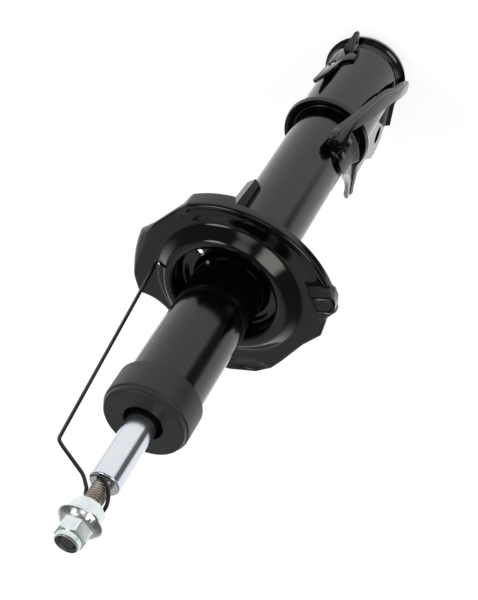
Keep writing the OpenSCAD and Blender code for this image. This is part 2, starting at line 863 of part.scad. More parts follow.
module flange_nut() {
    flange_r = flange_nut_d / 2;
    hex_z = flange_nut_z + 0.6;
    hex_h = flange_nut_h - 0.6;
    collar_z = flange_nut_z + flange_nut_h;
    corner = flange_nut_af / sqrt(3);
    color("#c9ccd0")
        difference() {
            union() {
                translate([0, 0, flange_nut_z])
                    rotate_extrude()
                        polygon([[0, 0], [flange_r - 0.5, 0], [flange_r, 0.5], [flange_r, 1.8],
                            [flange_r - 0.6, 2.4], [corner, flange_h], [corner - 2, flange_h + 0.3], [0, flange_h]]);
                translate([0, 0, hex_z])
                    rotate([0, 0, 9])
                        chamfered_hex(flange_nut_af, hex_h, true);
                translate([0, 0, collar_z - eps])
                    rotate_extrude()
                        polygon([[0, 0], [collar_r, 0], [collar_r, collar_h - 1.2], [collar_r - 0.4, collar_h - 0.3],
                            [collar_r - 1, collar_h], [0, collar_h]]);
            }
            translate([0, 0, flange_nut_z - 1])
                cylinder(r = stud_r + fit, h = 40);
            translate([0, 0, collar_z])
                cylinder(r = collar_r - 1, h = collar_h + 1);
        }
}

module nylon_insert() {
    insert_h = collar_h - 1.6;
    color("#2f6fa8")
        ring(collar_r - 1 - fit, stud_r + fit, insert_h, flange_nut_z + flange_nut_h);
}

// ---- retaining wire ----

// Point in the wire's plane, by its distance from the axis and its height
function in_plane(r, z) = [r * cos(wire_angle), r * sin(wire_angle), z];

// Point of the hook round the stud
function on_hook(a) = [hook_r * cos(a), hook_r * sin(a), hook_mid_z - hook_rise * cos(a - hook_end_a)];

module retaining_wire() {
    toe = in_plane(wire_foot_r + 0.2, wire_pivot_z - wire_toe);
    foot = in_plane(wire_foot_r, wire_pivot_z);
    knee = in_plane(38.6, shoulder_z - 16.6);
    elbow = in_plane(34, shoulder_z - 13.2);
    wrist = in_plane(13.5, shoulder_z - 0.6);
    hook = [for (a = [hook_start_a : hook_step : 360 + hook_end_a]) on_hook(a)];
    route = concat([toe, foot], bend(foot, knee, elbow, 2.4), bend(knee, elbow, wrist, 2.4),
        bend(elbow, wrist, hook[0], 3), hook);
    color("#2b2d2f")
        wire_along(route, wire_r, in_plane(1, 0));
}

reservoir_tube();
base_cap();
pressure_tube();
base_valve();
base_valve_disc();
rod_guide();
guide_bush();
rod_seal();
seal_washer();
bump_cap();
knuckle_bracket();
inner_bracket();
bracket_weld();
side_bracket();
side_bracket_plug();
hose_bracket();
spring_seat();
seat_legs();
spring_stop();
piston_band();
piston();
valve_shims();
piston_nut();
rebound_stop();
rebound_bumper();
piston_rod();
hex_nut();
flange_nut();
nylon_insert();
retaining_wire();
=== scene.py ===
# Looks and fine shapes of a front suspension strut: paint, plating, rubber, pressed sheets, thread, studio.
# Shapes are worked out in millimetres and made in metres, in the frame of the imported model: the origin is the
# middle of the base, +Z runs along the strut towards its stud, and +X points at the side bracket.
# Directions are in degrees round the strut, from +X towards +Y.
import bmesh
import bpy
import math
from mathutils import Matrix, Vector


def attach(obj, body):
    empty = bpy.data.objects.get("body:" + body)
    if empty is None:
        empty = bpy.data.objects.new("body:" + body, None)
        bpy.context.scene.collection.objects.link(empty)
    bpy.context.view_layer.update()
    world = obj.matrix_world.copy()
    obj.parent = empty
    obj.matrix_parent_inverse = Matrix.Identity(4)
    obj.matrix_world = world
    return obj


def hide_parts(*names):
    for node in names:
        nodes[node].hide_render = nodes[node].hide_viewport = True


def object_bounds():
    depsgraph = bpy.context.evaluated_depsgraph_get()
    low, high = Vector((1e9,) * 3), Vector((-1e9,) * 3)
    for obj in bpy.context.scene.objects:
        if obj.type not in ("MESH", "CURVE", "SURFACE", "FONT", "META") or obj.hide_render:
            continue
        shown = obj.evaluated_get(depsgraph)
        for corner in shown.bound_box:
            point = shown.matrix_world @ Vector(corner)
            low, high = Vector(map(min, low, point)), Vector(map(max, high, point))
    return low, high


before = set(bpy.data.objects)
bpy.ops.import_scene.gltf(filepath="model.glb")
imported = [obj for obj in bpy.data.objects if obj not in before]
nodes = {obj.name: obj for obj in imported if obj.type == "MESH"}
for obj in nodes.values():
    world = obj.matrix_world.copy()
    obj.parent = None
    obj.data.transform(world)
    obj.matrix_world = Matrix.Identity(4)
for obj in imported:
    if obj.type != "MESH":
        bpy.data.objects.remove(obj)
cad_box = [list(corner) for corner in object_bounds()]

MM = 0.001


# ---- shader node helpers ----

def add_node(tree, kind, at, **settings):
    """Adds one shader node, placed for reading. A setting whose name starts with in_ fills in that input."""
    made = tree.nodes.new(kind)
    made.location = at
    for name, value in settings.items():
        if name.startswith("in_"):
            made.inputs[name[3:].replace("_", " ")].default_value = value
        else:
            setattr(made, name, value)
    return made


def feed(tree, target, value):
    """Gives an input a plain number, or links it to a socket."""
    if isinstance(value, (int, float)):
        target.default_value = value
    else:
        tree.links.new(value, target)


def maths(tree, operation, at, a, b, clamp=False):
    """A Math node on two sockets or plain numbers."""
    made = add_node(tree, "ShaderNodeMath", at, operation=operation, use_clamp=clamp)
    feed(tree, made.inputs[0], a)
    feed(tree, made.inputs[1], b)
    return made.outputs[0]


def excess(tree, at, a, b, gain):
    """How far a is above b, times the gain, held between 0 and 1."""
    above = maths(tree, "SUBTRACT", at, a, b)
    return maths(tree, "MULTIPLY", (at[0] + 150, at[1]), above, gain, clamp=True)


def noise(tree, at, vector, scale, detail):
    """Values of a noise pattern. Its scale is a number or a socket."""
    made = add_node(tree, "ShaderNodeTexNoise", at, in_Detail=detail)
    feed(tree, made.inputs["Scale"], scale)
    tree.links.new(vector, made.inputs["Vector"])
    return made.outputs["Fac"]


def mix_colours(tree, at, share, a, b):
    """Colour a with so much of colour b."""
    made = add_node(tree, "ShaderNodeMix", at, data_type="RGBA")
    for label, value in (("Factor", share), ("A", a), ("B", b)):
        tree.links.new(value, made.inputs[label])
    return made.outputs["Result"]


def as_default(value):
    """A colour with its alpha, or a number as it is."""
    return (*value, 1) if isinstance(value, tuple) else value


def new_group(name, **values):
    """A group that turns a vector and these named values into a finish, and the sockets of its two ends."""
    group = bpy.data.node_groups.new(name, "ShaderNodeTree")
    group.interface.new_socket(name="Vector", in_out="INPUT", socket_type="NodeSocketVector")
    for label, value in values.items():
        kind = "NodeSocketColor" if isinstance(value, tuple) else "NodeSocketFloat"
        socket = group.interface.new_socket(name=label.replace("_", " "), in_out="INPUT", socket_type=kind)
        socket.default_value = as_default(value)
    for label, kind in (("Color", "Color"), ("Roughness", "Float"), ("Normal", "Vector")):
        group.interface.new_socket(name=label, in_out="OUTPUT", socket_type="NodeSocket" + kind)
    start = add_node(group, "NodeGroupInput", (-900, 0))
    end = add_node(group, "NodeGroupOutput", (900, 0))
    return group, start.outputs, end.inputs


def give_finish(group, end, colour, roughness, height, strength, distance):
    """Feeds the group's outputs. The height raises the surface by up to the distance, in metres."""
    bump = add_node(group, "ShaderNodeBump", (300, 250), in_Distance=distance)
    group.links.new(height, bump.inputs["Height"])
    group.links.new(strength, bump.inputs["Strength"])
    group.links.new(bump.outputs["Normal"], end["Normal"])
    group.links.new(colour, end["Color"])
    group.links.new(roughness, end["Roughness"])


# ---- finishes ----

def make_sprayed_coat():
    """Orange peel, slow thickness changes and a little settled dust of a sprayed or dipped coat."""
    group, given, end = new_group(
        "sprayed coat", Coat_Colour=(0.004, 0.004, 0.004), Dust_Colour=(0.05, 0.05, 0.048), Dust=0.2,
        Roughness=0.12, Peel_Scale=450.0, Peel_Height=0.02)
    peel = noise(group, (-600, 250), given["Vector"], scale=given["Peel Scale"], detail=2.0)
    flow = noise(group, (-600, 0), given["Vector"], scale=38.0, detail=3.0)
    specks = noise(group, (-600, -250), given["Vector"], scale=1700.0, detail=1.0)
    faint_peel = maths(group, "MULTIPLY", (-300, 300), peel, 0.35)
    height = maths(group, "ADD", (-100, 300), faint_peel, flow)
    grains = excess(group, (-300, -200), specks, 0.63, gain=7.0)
    patches = excess(group, (-300, -50), flow, 0.42, gain=2.2)
    settled = maths(group, "MULTIPLY", (50, -120), grains, patches)
    dusted = maths(group, "MULTIPLY", (200, -120), settled, given["Dust"])
    colour = mix_colours(group, (450, -60), dusted, given["Coat Colour"], given["Dust Colour"])
    dull_patches = maths(group, "MULTIPLY", (300, -300), patches, 0.05)
    dull_dust = maths(group, "MULTIPLY", (450, -420), dusted, 0.5)
    rough = maths(group, "ADD", (450, -300), dull_patches, given["Roughness"])
    rough = maths(group, "ADD", (600, -300), rough, dull_dust)
    give_finish(group, end, colour, rough, height, given["Peel Height"], distance=0.0006)
    return group


def make_turned_metal():
    """Fine marks that run round a turned, ground or drawn part, and the slow tints of its plating."""
    group, given, end = new_group(
        "turned metal", Metal_Colour=(0.7, 0.7, 0.7), Tint_One=(0.7, 0.72, 0.78), Tint_Two=(0.78, 0.72, 0.62),
        Tint_Amount=0.2, Roughness=0.15, Mark_Height=0.02)
    flatten = add_node(group, "ShaderNodeMapping", (-650, 200), in_Scale=(60.0, 60.0, 5200.0))
    group.links.new(given["Vector"], flatten.inputs["Vector"])
    marks = noise(group, (-450, 200), flatten.outputs["Vector"], scale=1.0, detail=3.0)
    tint = noise(group, (-450, -100), given["Vector"], scale=130.0, detail=2.0)
    cool = excess(group, (-250, -50), tint, 0.45, gain=6.0)
    cool = maths(group, "MULTIPLY", (50, -50), cool, given["Tint Amount"])
    warm = excess(group, (-250, -220), 0.5, tint, gain=6.0)
    warm = maths(group, "MULTIPLY", (50, -220), warm, given["Tint Amount"])
    colour = mix_colours(group, (250, -50), cool, given["Metal Colour"], given["Tint One"])
    colour = mix_colours(group, (450, -120), warm, colour, given["Tint Two"])
    dull_marks = maths(group, "MULTIPLY", (250, -350), marks, 0.12)
    rough = maths(group, "ADD", (400, -350), dull_marks, given["Roughness"])
    give_finish(group, end, colour, rough, marks, given["Mark Height"], distance=0.0002)
    return group


def make_moulded_skin():
    """Fine grain and faint bloom of a moulded rubber or plastic skin."""
    group, given, end = new_group(
        "moulded skin", Skin_Colour=(0.03, 0.03, 0.03), Bloom_Colour=(0.06, 0.06, 0.06), Bloom=0.3,
        Roughness=0.5, Grain_Scale=2500.0, Grain_Height=0.15)
    grain = noise(group, (-600, 250), given["Vector"], scale=given["Grain Scale"], detail=2.0)
    cloud = noise(group, (-600, -50), given["Vector"], scale=55.0, detail=4.0)
    haze = excess(group, (-300, -50), cloud, 0.4, gain=2.5)
    haze = maths(group, "MULTIPLY", (0, -50), haze, given["Bloom"])
    colour = mix_colours(group, (300, -50), haze, given["Skin Colour"], given["Bloom Colour"])
    dull_haze = maths(group, "MULTIPLY", (300, -300), haze, 0.2)
    rough = maths(group, "ADD", (450, -300), dull_haze, given["Roughness"])
    give_finish(group, end, colour, rough, grain, given["Grain Height"], distance=0.0003)
    return group


def make_material(name, group, metallic, tint=(1.0, 1.0, 1.0), **values):
    """A material that takes its colour, roughness and relief from one of the groups."""
    made = bpy.data.materials.new(name)
    made.use_nodes = True
    tree = made.node_tree
    shader = tree.nodes["Principled BSDF"]
    shader.inputs["Metallic"].default_value = metallic
    shader.inputs["Specular Tint"].default_value = (*tint, 1)
    place = add_node(tree, "ShaderNodeTexCoord", (-700, 100))
    effect = add_node(tree, "ShaderNodeGroup", (-350, 100), node_tree=group)
    tree.links.new(place.outputs["Object"], effect.inputs["Vector"])
    for label, value in values.items():
        effect.inputs[label.replace("_", " ")].default_value = as_default(value)
    for source, target in (("Color", "Base Color"), ("Roughness", "Roughness"), ("Normal", "Normal")):
        tree.links.new(effect.outputs[source], shader.inputs[target])
    return made


COAT, TURNED, SKIN = make_sprayed_coat(), make_turned_metal(), make_moulded_skin()

black_paint = make_material(
    "gloss black paint", COAT, 0.0, tint=(0.97, 1.0, 0.95), Coat_Colour=(0.0035, 0.0035, 0.0032),
    Dust=0.25, Roughness=0.10, Peel_Scale=420.0, Peel_Height=0.05)
seat_paint = make_material(
    "black dipped paint", COAT, 0.0, tint=(0.96, 1.0, 0.93), Coat_Colour=(0.0014, 0.0014, 0.0012),
    Dust=0.06, Roughness=0.08, Peel_Scale=300.0, Peel_Height=0.07)
cap_skin = make_material(
    "bump cap moulding", SKIN, 0.0, Skin_Colour=(0.011, 0.0125, 0.0125), Bloom_Colour=(0.026, 0.028, 0.028),
    Bloom=0.5, Roughness=0.42, Grain_Scale=2600.0, Grain_Height=0.12)
chrome = make_material(
    "chromed rod", TURNED, 1.0, Metal_Colour=(0.66, 0.69, 0.73), Tint_One=(0.60, 0.65, 0.72),
    Tint_Two=(0.70, 0.68, 0.66), Tint_Amount=0.4, Roughness=0.13, Mark_Height=0.03)
bright_zinc = make_material(
    "bright zinc", TURNED, 1.0, Metal_Colour=(0.72, 0.765, 0.765), Tint_One=(0.52, 0.64, 0.64),
    Tint_Two=(0.72, 0.69, 0.59), Tint_Amount=0.5, Roughness=0.13, Mark_Height=0.02)
# The spring wire's own dark colour. On the seal washer and on the stud's top face this finish is painted shade.
dark_wire_and_painted_shade = make_material(
    "dark spring wire and painted shade", COAT, 0.0, Coat_Colour=(0.012, 0.012, 0.011),
    Dust=0.1, Roughness=0.3, Peel_Scale=1500.0, Peel_Height=0.05)
plain_steel = make_material(
    "plain steel", TURNED, 1.0, Metal_Colour=(0.42, 0.41, 0.40), Tint_One=(0.45, 0.46, 0.48),
    Tint_Two=(0.40, 0.35, 0.30), Tint_Amount=0.4, Roughness=0.28, Mark_Height=0.12)
iron = make_material(
    "sintered iron", SKIN, 0.8, Skin_Colour=(0.20, 0.20, 0.20), Bloom_Colour=(0.27, 0.26, 0.25),
    Bloom=0.6, Roughness=0.5, Grain_Scale=3200.0, Grain_Height=0.4)
bronze = make_material(
    "bearing bronze", TURNED, 1.0, Metal_Colour=(0.60, 0.40, 0.20), Tint_One=(0.62, 0.46, 0.26),
    Tint_Two=(0.45, 0.28, 0.14), Tint_Amount=0.4, Roughness=0.3, Mark_Height=0.08)
band_plastic = make_material(
    "piston band plastic", SKIN, 0.0, Skin_Colour=(0.36, 0.20, 0.07), Bloom_Colour=(0.42, 0.26, 0.11),
    Bloom=0.5, Roughness=0.45, Grain_Scale=1800.0, Grain_Height=0.1)
seal_rubber = make_material(
    "seal rubber", SKIN, 0.0, Skin_Colour=(0.012, 0.012, 0.012), Bloom_Colour=(0.03, 0.03, 0.03),
    Bloom=0.4, Roughness=0.6, Grain_Scale=2200.0, Grain_Height=0.15)
stud_steel = make_material(
    "phosphated stud", TURNED, 0.85, Metal_Colour=(0.46, 0.43, 0.38), Tint_One=(0.50, 0.50, 0.47),
    Tint_Two=(0.34, 0.28, 0.22), Tint_Amount=0.5, Roughness=0.26, Mark_Height=0.05)
nylon = make_material(
    "grey nylon", SKIN, 0.0, Skin_Colour=(0.10, 0.12, 0.11), Bloom_Colour=(0.16, 0.18, 0.165),
    Bloom=0.4, Roughness=0.35, Grain_Scale=1500.0, Grain_Height=0.06)

FINISHES = {
    black_paint: ["reservoir_tube", "base_cap", "knuckle_bracket", "inner_bracket", "bracket_weld",
                  "side_bracket", "side_bracket_plug", "hose_bracket"],
    seat_paint: ["spring_seat", "seat_legs", "spring_stop"],
    cap_skin: ["bump_cap"],
    chrome: ["piston_rod"],
    bright_zinc: ["hex_nut", "flange_nut"],
    # The seal washer takes the dark finish as painted shade: it lies in shade inside the bump cap's hole.
    dark_wire_and_painted_shade: ["retaining_wire", "seal_washer"],
    plain_steel: ["pressure_tube", "base_valve_disc", "valve_shims", "piston_nut", "rebound_stop"],
    iron: ["base_valve", "rod_guide", "piston"],
    bronze: ["guide_bush"],
    band_plastic: ["piston_band"],
    seal_rubber: ["rod_seal", "rebound_bumper"],
    nylon: ["nylon_insert"],
}

for material, names in FINISHES.items():
    for name in names:
        nodes[name].data.materials.clear()
        nodes[name].data.materials.append(material)


# ---- shapes and meshes ----

def heading(turn):
    """Unit step in a direction."""
    return math.cos(math.radians(turn)), math.sin(math.radians(turn))


def around(turn, out, side, z):
    """A point beside the strut: direction, distance from the axis, offset to the left, height."""
    ux, uy = heading(turn)
    return (out * ux - side * uy, out * uy + side * ux, z)


def arc(u, v, r, first, last, steps):
    """Points of an arc between two angles."""
    turns = [heading(first + (last - first) * i / steps) for i in range(steps + 1)]
    return [(u + r * cosine, v + r * sine) for cosine, sine in turns]


def circle(u, v, r, steps):
    return arc(u, v, r, 0, 360, steps)[:-1]


def smooth_step(low, high, value):
    """0 below the low value and 1 above the high one, with a soft rise between them."""
    share = min(1.0, max(0.0, (value - low) / (high - low)))
    return share * share * (3 - 2 * share)


def within(turn, first, last, soft):
    """1 between two directions and 0 outside, with soft ends."""
    middle, half = (first + last) / 2, (last - first) / 2
    off = abs((turn - middle + 180) % 360 - 180)
    return 1 - smooth_step(half - soft, half + soft, off)


def pick(*pieces):
    """Selects only these objects, the first of them active."""
    bpy.ops.object.select_all(action="DESELECT")
    for piece in pieces:
        piece.select_set(True)
    bpy.context.view_layer.objects.active = pieces[0]


def link_piece(name, points, faces, material=None):
    """An object made of faces on points in millimetres."""
    mesh = bpy.data.meshes.new(name)
    mesh.from_pydata([Vector(point) * MM for point in points], [], faces)
    if material:
        mesh.materials.append(material)
    piece = bpy.data.objects.new(name, mesh)
    bpy.context.scene.collection.objects.link(piece)
    return piece


def new_piece(name, points, faces, material=None):
    """The same, with its doubles merged and its faces turned outward."""
    piece = link_piece(name, points, faces, material)
    work = bmesh.new()
    work.from_mesh(piece.data)
    bmesh.ops.remove_doubles(work, verts=work.verts, dist=1e-6)
    bmesh.ops.recalc_face_normals(work, faces=work.faces)
    work.to_mesh(piece.data)
    work.free()
    return piece


def wrap_faces(columns, rows):
    """Faces of a skin whose columns, with so many rows each, go once round and meet."""
    pairs = [(j * rows, (j + 1) % columns * rows) for j in range(columns)]
    return [(here + i, here + i + 1, there + i + 1, there + i)
            for here, there in pairs for i in range(rows - 1)]


def lathe(name, section, steps, material):
    """A section of (radius, height) from axis to axis, turned about the strut's axis."""
    points = [around(360 * i / steps, r, 0, z) for i in range(steps) for r, z in section]
    return new_piece(name, points, wrap_faces(steps, len(section)), material)


def loft(name, rings, material=None):
    """A skin over rings that have as many points each, closed at both ends."""
    count, last = len(rings[0]), len(rings) - 1
    sides = [(j, (j + 1) % count) for j in range(count)]
    faces = [(k * count + a, k * count + b, (k + 1) * count + b, (k + 1) * count + a)
             for k in range(last) for a, b in sides]
    faces += [list(range(count))[::-1], list(range(last * count, (last + 1) * count))]
    return new_piece(name, [point for ring in rings for point in ring], faces, material)


def apply_modifiers(piece):
    pick(piece)
    for name in [modifier.name for modifier in piece.modifiers]:
        bpy.ops.object.modifier_apply(modifier=name)


def carve(piece, tool):
    """Cuts the tool out of the piece, and removes the tool."""
    cut = piece.modifiers.new("cut", "BOOLEAN")
    cut.object = tool
    cut.operation = "DIFFERENCE"
    cut.solver = "EXACT"
    apply_modifiers(piece)
    bpy.data.objects.remove(tool)


PUNCH_FROM = 24.0              # a punch starts inside the strut's tube


def punch(piece, turn, outline, reach=40.0):
    """Cuts an outline of (offset, height) through a sheet that stands beside the strut in a direction."""
    carve(piece, loft("tool", [[around(turn, out, v, z) for v, z in outline] for out in (PUNCH_FROM, reach)]))


def soften(piece, edge, limit=38):
    """Rounds the edges that are sharper than the limit by so many millimetres, and shades the rest smooth."""
    if edge:
        bevel = piece.modifiers.new("edges", "BEVEL")
        bevel.width = edge * MM
        bevel.segments = 2
        bevel.limit_method = "ANGLE"
        bevel.angle_limit = math.radians(limit)
        apply_modifiers(piece)
    pick(piece)
    bpy.ops.object.shade_smooth_by_angle(angle=math.radians(limit))


# ---- spring seat ----

SEAT_Z = 295.0                 # upper face of the seat's floor
SHEET = 2.8
SEAT_COLUMNS = 400
HUB_Y = 3.0                    # the hub is set off from the axis, away from the knuckle

# The section from the neck to the hub's foot, as radii, heights from the floor and bend radii
NECK_R, NECK_LENGTH, NECK_BEND = 25.8, 44.0, 3.2
WEB_R = 31.5                   # middle of the well, where the sheet goes over to the hub's offset
WELL_R, WELL_DEPTH, WELL_BEND = 36.6, 6.2, 2.6
HUB_HEIGHT, CREST_BEND = 8.3, 4.6
BROW_R, BROW_BEND = 42.2, 6.0
HUB_SLOPE, FLANK_R = 41.0, 49.4
HUB_FOOT, FOOT_BEND = 54.0, 5.0
HUB_NARROW = 2.7               # the foot stands so much further in beside the wire
NARROW_FROM, NARROW_TO = 36.0, 50.0    # radii between which that grows to its full size

# The outline: a circle centred beside the axis, with a flat, a scallop and a trimmed side
RIM_X, RIM_R = 3.8, 74.8
FLAT_TURN, FLAT_OUT = 142.0, 66.5
SCALLOP_TURN, SCALLOP_OUT, SCALLOP_R = -136.0, 84.0, 27.0
TRIMMED_SIDE = [(78, 21), (70.8, 8), (68.8, -10), (58.2, -24.3), (51.2, -37), (45.8, -47), (39, -58),
                (28.4, -67), (8, -75)]

# Rows of the rim: distance from the outline, height where it is rolled up, height where it is plain
RIM_ROWS = [(9.5, 0, 0), (8.6, -0.25, 0), (7.6, -0.4, 0), (6.7, -0.2, 0), (5.8, 0.5, 0), (4.6, 1.8, 0),
            (3.5, 2.75, 0), (2.6, 3.0, 0), (1.7, 2.9, -0.1), (0.9, 2.4, -0.45), (0.3, 1.5, -1.0),
            (0, 0.3, -1.8)]
RIM_RAISED = (10.0, 121.0)     # directions between which the rim is rolled up
HEM_DROP = 3.0                 # the rim's edge hangs so far under the floor, and further at the tab
TAB, TAB_DROP = (93.0, 121.0), 6.5

FOLD_TURN, FOLD_OUT, FOLD_FALL = 166.8, 63.4, 0.7    # crease of the folded corner, and its fall beyond it
DENT_X, DENT_Y, DENT_TURN = 24.0, -62.0, 21.0        # oval dent in the floor's edge
DENT_HALF_LENGTH, DENT_HALF_WIDTH, DENT_DEPTH = 17.0, 5.2, 1.5
DENT_FLAT = 0.35               # share of the dent that has its full depth

# Holes: direction, distance, radius, and the tool's lower and upper end from the floor
SEAT_HOLES = [(178, 51.3, 2.9, -8, 5.2),      # for the retaining wire's foot
              (141, 31.2, 3.0, -14, -3)]      # drain in the well


def meet_circle(turn, cx, cy, r):
    """Where a direction from the hub's centre enters and leaves a circle, or None if it misses."""
    ux, uy = heading(turn)
    along = cx * ux + (cy - HUB_Y) * uy
    left = r * r - (cx * cx + (cy - HUB_Y) ** 2 - along * along)
    if left < 0:
        return None
    return along - math.sqrt(left), along + math.sqrt(left)


def meet_edge(turn, start, end):
    """Distance from the hub's centre to a straight edge in a direction, or None if it misses."""
    ux, uy = heading(turn)
    (ax, ay), (bx, by) = start, end
    ay, by = ay - HUB_Y, by - HUB_Y
    cross = ux * (by - ay) - uy * (bx - ax)
    if abs(cross) < 1e-9:
        return None
    along = (ax * (by - ay) - ay * (bx - ax)) / cross
    share = (ax * uy - ay * ux) / cross
    return along if 0 <= share <= 1 and along > 0 else None


def reach_of_rim(turn):
    """Distance from the hub's centre to the seat's outline in a direction."""
    reaches = [meet_circle(turn, RIM_X, 0, RIM_R)[1]]
    facing = heading(turn - FLAT_TURN)[0]
    if facing > 0:
        reaches.append((FLAT_OUT - HUB_Y * heading(FLAT_TURN)[1]) / facing)
    sx, sy = heading(SCALLOP_TURN)
    bite = meet_circle(turn, SCALLOP_OUT * sx, SCALLOP_OUT * sy, SCALLOP_R)
    if bite and bite[0] > 0:
        reaches.append(bite[0])
    trimmed = [meet_edge(turn, *edge) for edge in zip(TRIMMED_SIDE, TRIMMED_SIDE[1:])]
    return min(reaches + [reach for reach in trimmed if reach])


def hub_section():
    """Rows of the pressing from the neck to the hub's foot: radius, height, share of the hub's offset."""
    slope = math.radians(HUB_SLOPE)
    lead = FOOT_BEND * math.tan(slope / 2)
    well, crest = SEAT_Z - WELL_DEPTH, SEAT_Z + HUB_HEIGHT
    neck = [(NECK_R, SEAT_Z - NECK_LENGTH + rise) for rise in (0, 12, 24)]
    neck += [(NECK_R, well - NECK_BEND)]
    neck += arc(NECK_R + NECK_BEND, well - NECK_BEND, NECK_BEND, 162, 90, 4)
    hub = arc(WELL_R - WELL_BEND, well + WELL_BEND, WELL_BEND, -90, 0, 4)
    hub += [(WELL_R, SEAT_Z + 1)]
    hub += arc(WELL_R + CREST_BEND, crest - CREST_BEND, CREST_BEND, 180, 90, 6)
    hub += arc(BROW_R, crest - BROW_BEND, BROW_BEND, 90, 90 - HUB_SLOPE, 4)
    hub += [(FLANK_R, SEAT_Z + (HUB_FOOT - FLANK_R) * math.tan(slope))]
    hub += arc(HUB_FOOT + lead, SEAT_Z + FOOT_BEND, FOOT_BEND, 270 - HUB_SLOPE, 270, 4)
    return [(r, z, 0.0) for r, z in neck] + [(WEB_R, well, 0.5)] + [(r, z, 1.0) for r, z in hub]


def seat_column(turn, hub):
    """Points of the pressing in one direction from the hub's centre, from the neck's lower end to the rim."""
    ux, uy = heading(turn)
    narrow = HUB_NARROW * max(0.0, -ux) ** 2
    column = []
    for r, z, share in hub:
        r -= narrow * smooth_step(NARROW_FROM, NARROW_TO, r)
        column.append((r * ux, r * uy + HUB_Y * share, z))
    foot = hub[-1][0] - narrow
    reach = reach_of_rim(turn)
    edge = math.degrees(math.atan2(reach * uy + HUB_Y, reach * ux))
    rim_start = max(foot + 1, reach - RIM_ROWS[0][0])
    flat = [(foot + (rim_start - foot) * share, SEAT_Z) for share in (0.25, 0.5, 0.75)]
    raised = within(edge, *RIM_RAISED, soft=9)
    rim = [(max(foot + 1.2, reach - inward), SEAT_Z + rolled * raised + plain * (1 - raised))
           for inward, rolled, plain in RIM_ROWS]
    hem = (reach, SEAT_Z - HEM_DROP - TAB_DROP * within(edge, *TAB, soft=1.2))
    return column + [(r * ux, r * uy + HUB_Y, z) for r, z in flat + rim + [hem]]


def fold_and_dent(x, y, z):
    """Lowers a point of the floor and rim beyond the folded corner's crease and in the dent."""
    if math.hypot(x, y - HUB_Y) < HUB_FOOT - 3:
        return (x, y, z)
    fx, fy = heading(FOLD_TURN)
    z -= FOLD_FALL * max(0.0, x * fx + y * fy - FOLD_OUT)
    dx, dy = heading(DENT_TURN)
    u = (x - DENT_X) * dx + (y - DENT_Y) * dy
    v = (y - DENT_Y) * dx - (x - DENT_X) * dy
    z -= DENT_DEPTH * (1 - smooth_step(DENT_FLAT, 1.0, math.hypot(u / DENT_HALF_LENGTH, v / DENT_HALF_WIDTH)))
    return (x, y, z)


def make_seat():
    """The pressed seat: one sheet from the neck over the hub to the rim, with its holes."""
    hub = hub_section()
    columns = [seat_column(360 * j / SEAT_COLUMNS, hub) for j in range(SEAT_COLUMNS)]
    points = [fold_and_dent(*point) for column in columns for point in column]
    seat = link_piece("seat_pressing", points, wrap_faces(SEAT_COLUMNS, len(columns[0])), seat_paint)
    wall = seat.modifiers.new("sheet", "SOLIDIFY")
    wall.thickness = SHEET * MM
    wall.offset = -1
    wall.use_quality_normals = True
    apply_modifiers(seat)
    for turn, out, r, low, high in SEAT_HOLES:
        ux, uy = heading(turn)
        hole = circle(out * ux, out * uy, r, 40)
        carve(seat, loft("tool", [[(x, y, SEAT_Z + end) for x, y in hole] for end in (low, high)]))
    soften(seat, 0, limit=50)
    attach(seat, "strut_body")
    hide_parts("spring_seat")


# ---- spring stop ----

STOP_TURN, STOP_OUT = 22.0, 73.0             # direction and distance of its middle
STOP_TOP = SEAT_Z + 10.4

# Outlines of its foot and crest, as distance from the axis and offset to the left
STOP_FOOT = [(60.5, 11.6), (72, 11.8), (77.5, 10.6), (80.6, 7), (81.4, 1), (80, -5), (76.6, -9), (60.5, -9.6)]
STOP_CREST = [(67.4, 6.4), (73, 6.6), (81.2, 6.6), (82.8, 5.2), (83, 1.6), (81, -3.4), (78.6, -6.6),
              (67.4, -6.6)]

# Its rings from foot to dished top: share of the way from the foot's outline to the crest's, height, inset
STOP_RINGS = [(0, SEAT_Z - 2.2, 0.6), (0, SEAT_Z + 0.6, 0), (0.3, SEAT_Z + 2.2, 0.4),
              (1, STOP_TOP - 1.3, -0.1), (1, STOP_TOP - 0.3, 1.7), (1, STOP_TOP - 0.5, 2.1),
              (1, STOP_TOP - 1.1, 2.7)]


def stop_ring(share, z, inset):
    ring = []
    for (foot_u, foot_v), (crest_u, crest_v) in zip(STOP_FOOT, STOP_CREST):
        u, v = foot_u + (crest_u - foot_u) * share, foot_v + (crest_v - foot_v) * share
        reach = math.hypot(u - STOP_OUT, v)
        u, v = u - inset * (u - STOP_OUT) / reach, v - inset * v / reach
        ring.append(around(STOP_TURN, u, v, z))
    return ring


def make_stop():
    """The pressed stop at the spring's end: flared foot, leaning walls and a dished top face."""
    stop = loft("stop_block", [stop_ring(*ring) for ring in STOP_RINGS], seat_paint)
    soften(stop, 0.35, limit=14)
    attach(stop, "strut_body")
    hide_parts("spring_stop")


# ---- rod and its thread ----

ROD_R, NOSE_R = 10.0, 6.0                    # the nose carries the piston
NOSE_Z, ROD_LOW, SHOULDER_Z, STUD_TOP = 62.0, 96.6, 475.4, 520.4
NOSE_EDGE, ROD_EDGE, SHOULDER_EDGE, STUD_EDGE = 1.0, 0.8, 1.2, 0.5
ROD_ROWS = (200.0, 330.0)                    # heights of rows that keep the rod's faces short
THREAD_ROOT, THREAD_CREST, THREAD_PITCH = 4.95, 5.97, 1.75
THREAD_START, THREAD_SHORT = 0.2, 2.2        # gaps to the shoulder and to the stud's top
THREAD_SUNK, THREAD_PROUD = 0.06, 0.02       # its root lies so far in the core at its ends, and out elsewhere
FADE_IN, FADE_OUT = 0.6, 0.8                 # turns over which it comes and goes
THREAD_STEPS = 56                            # points round one turn

# The thread's ridge: rise along the axis, share of the way from root to crest
THREAD_RIDGE = [(0, 0), (0.14, 0), (0.73, 1), (1.02, 1), (1.61, 0)]


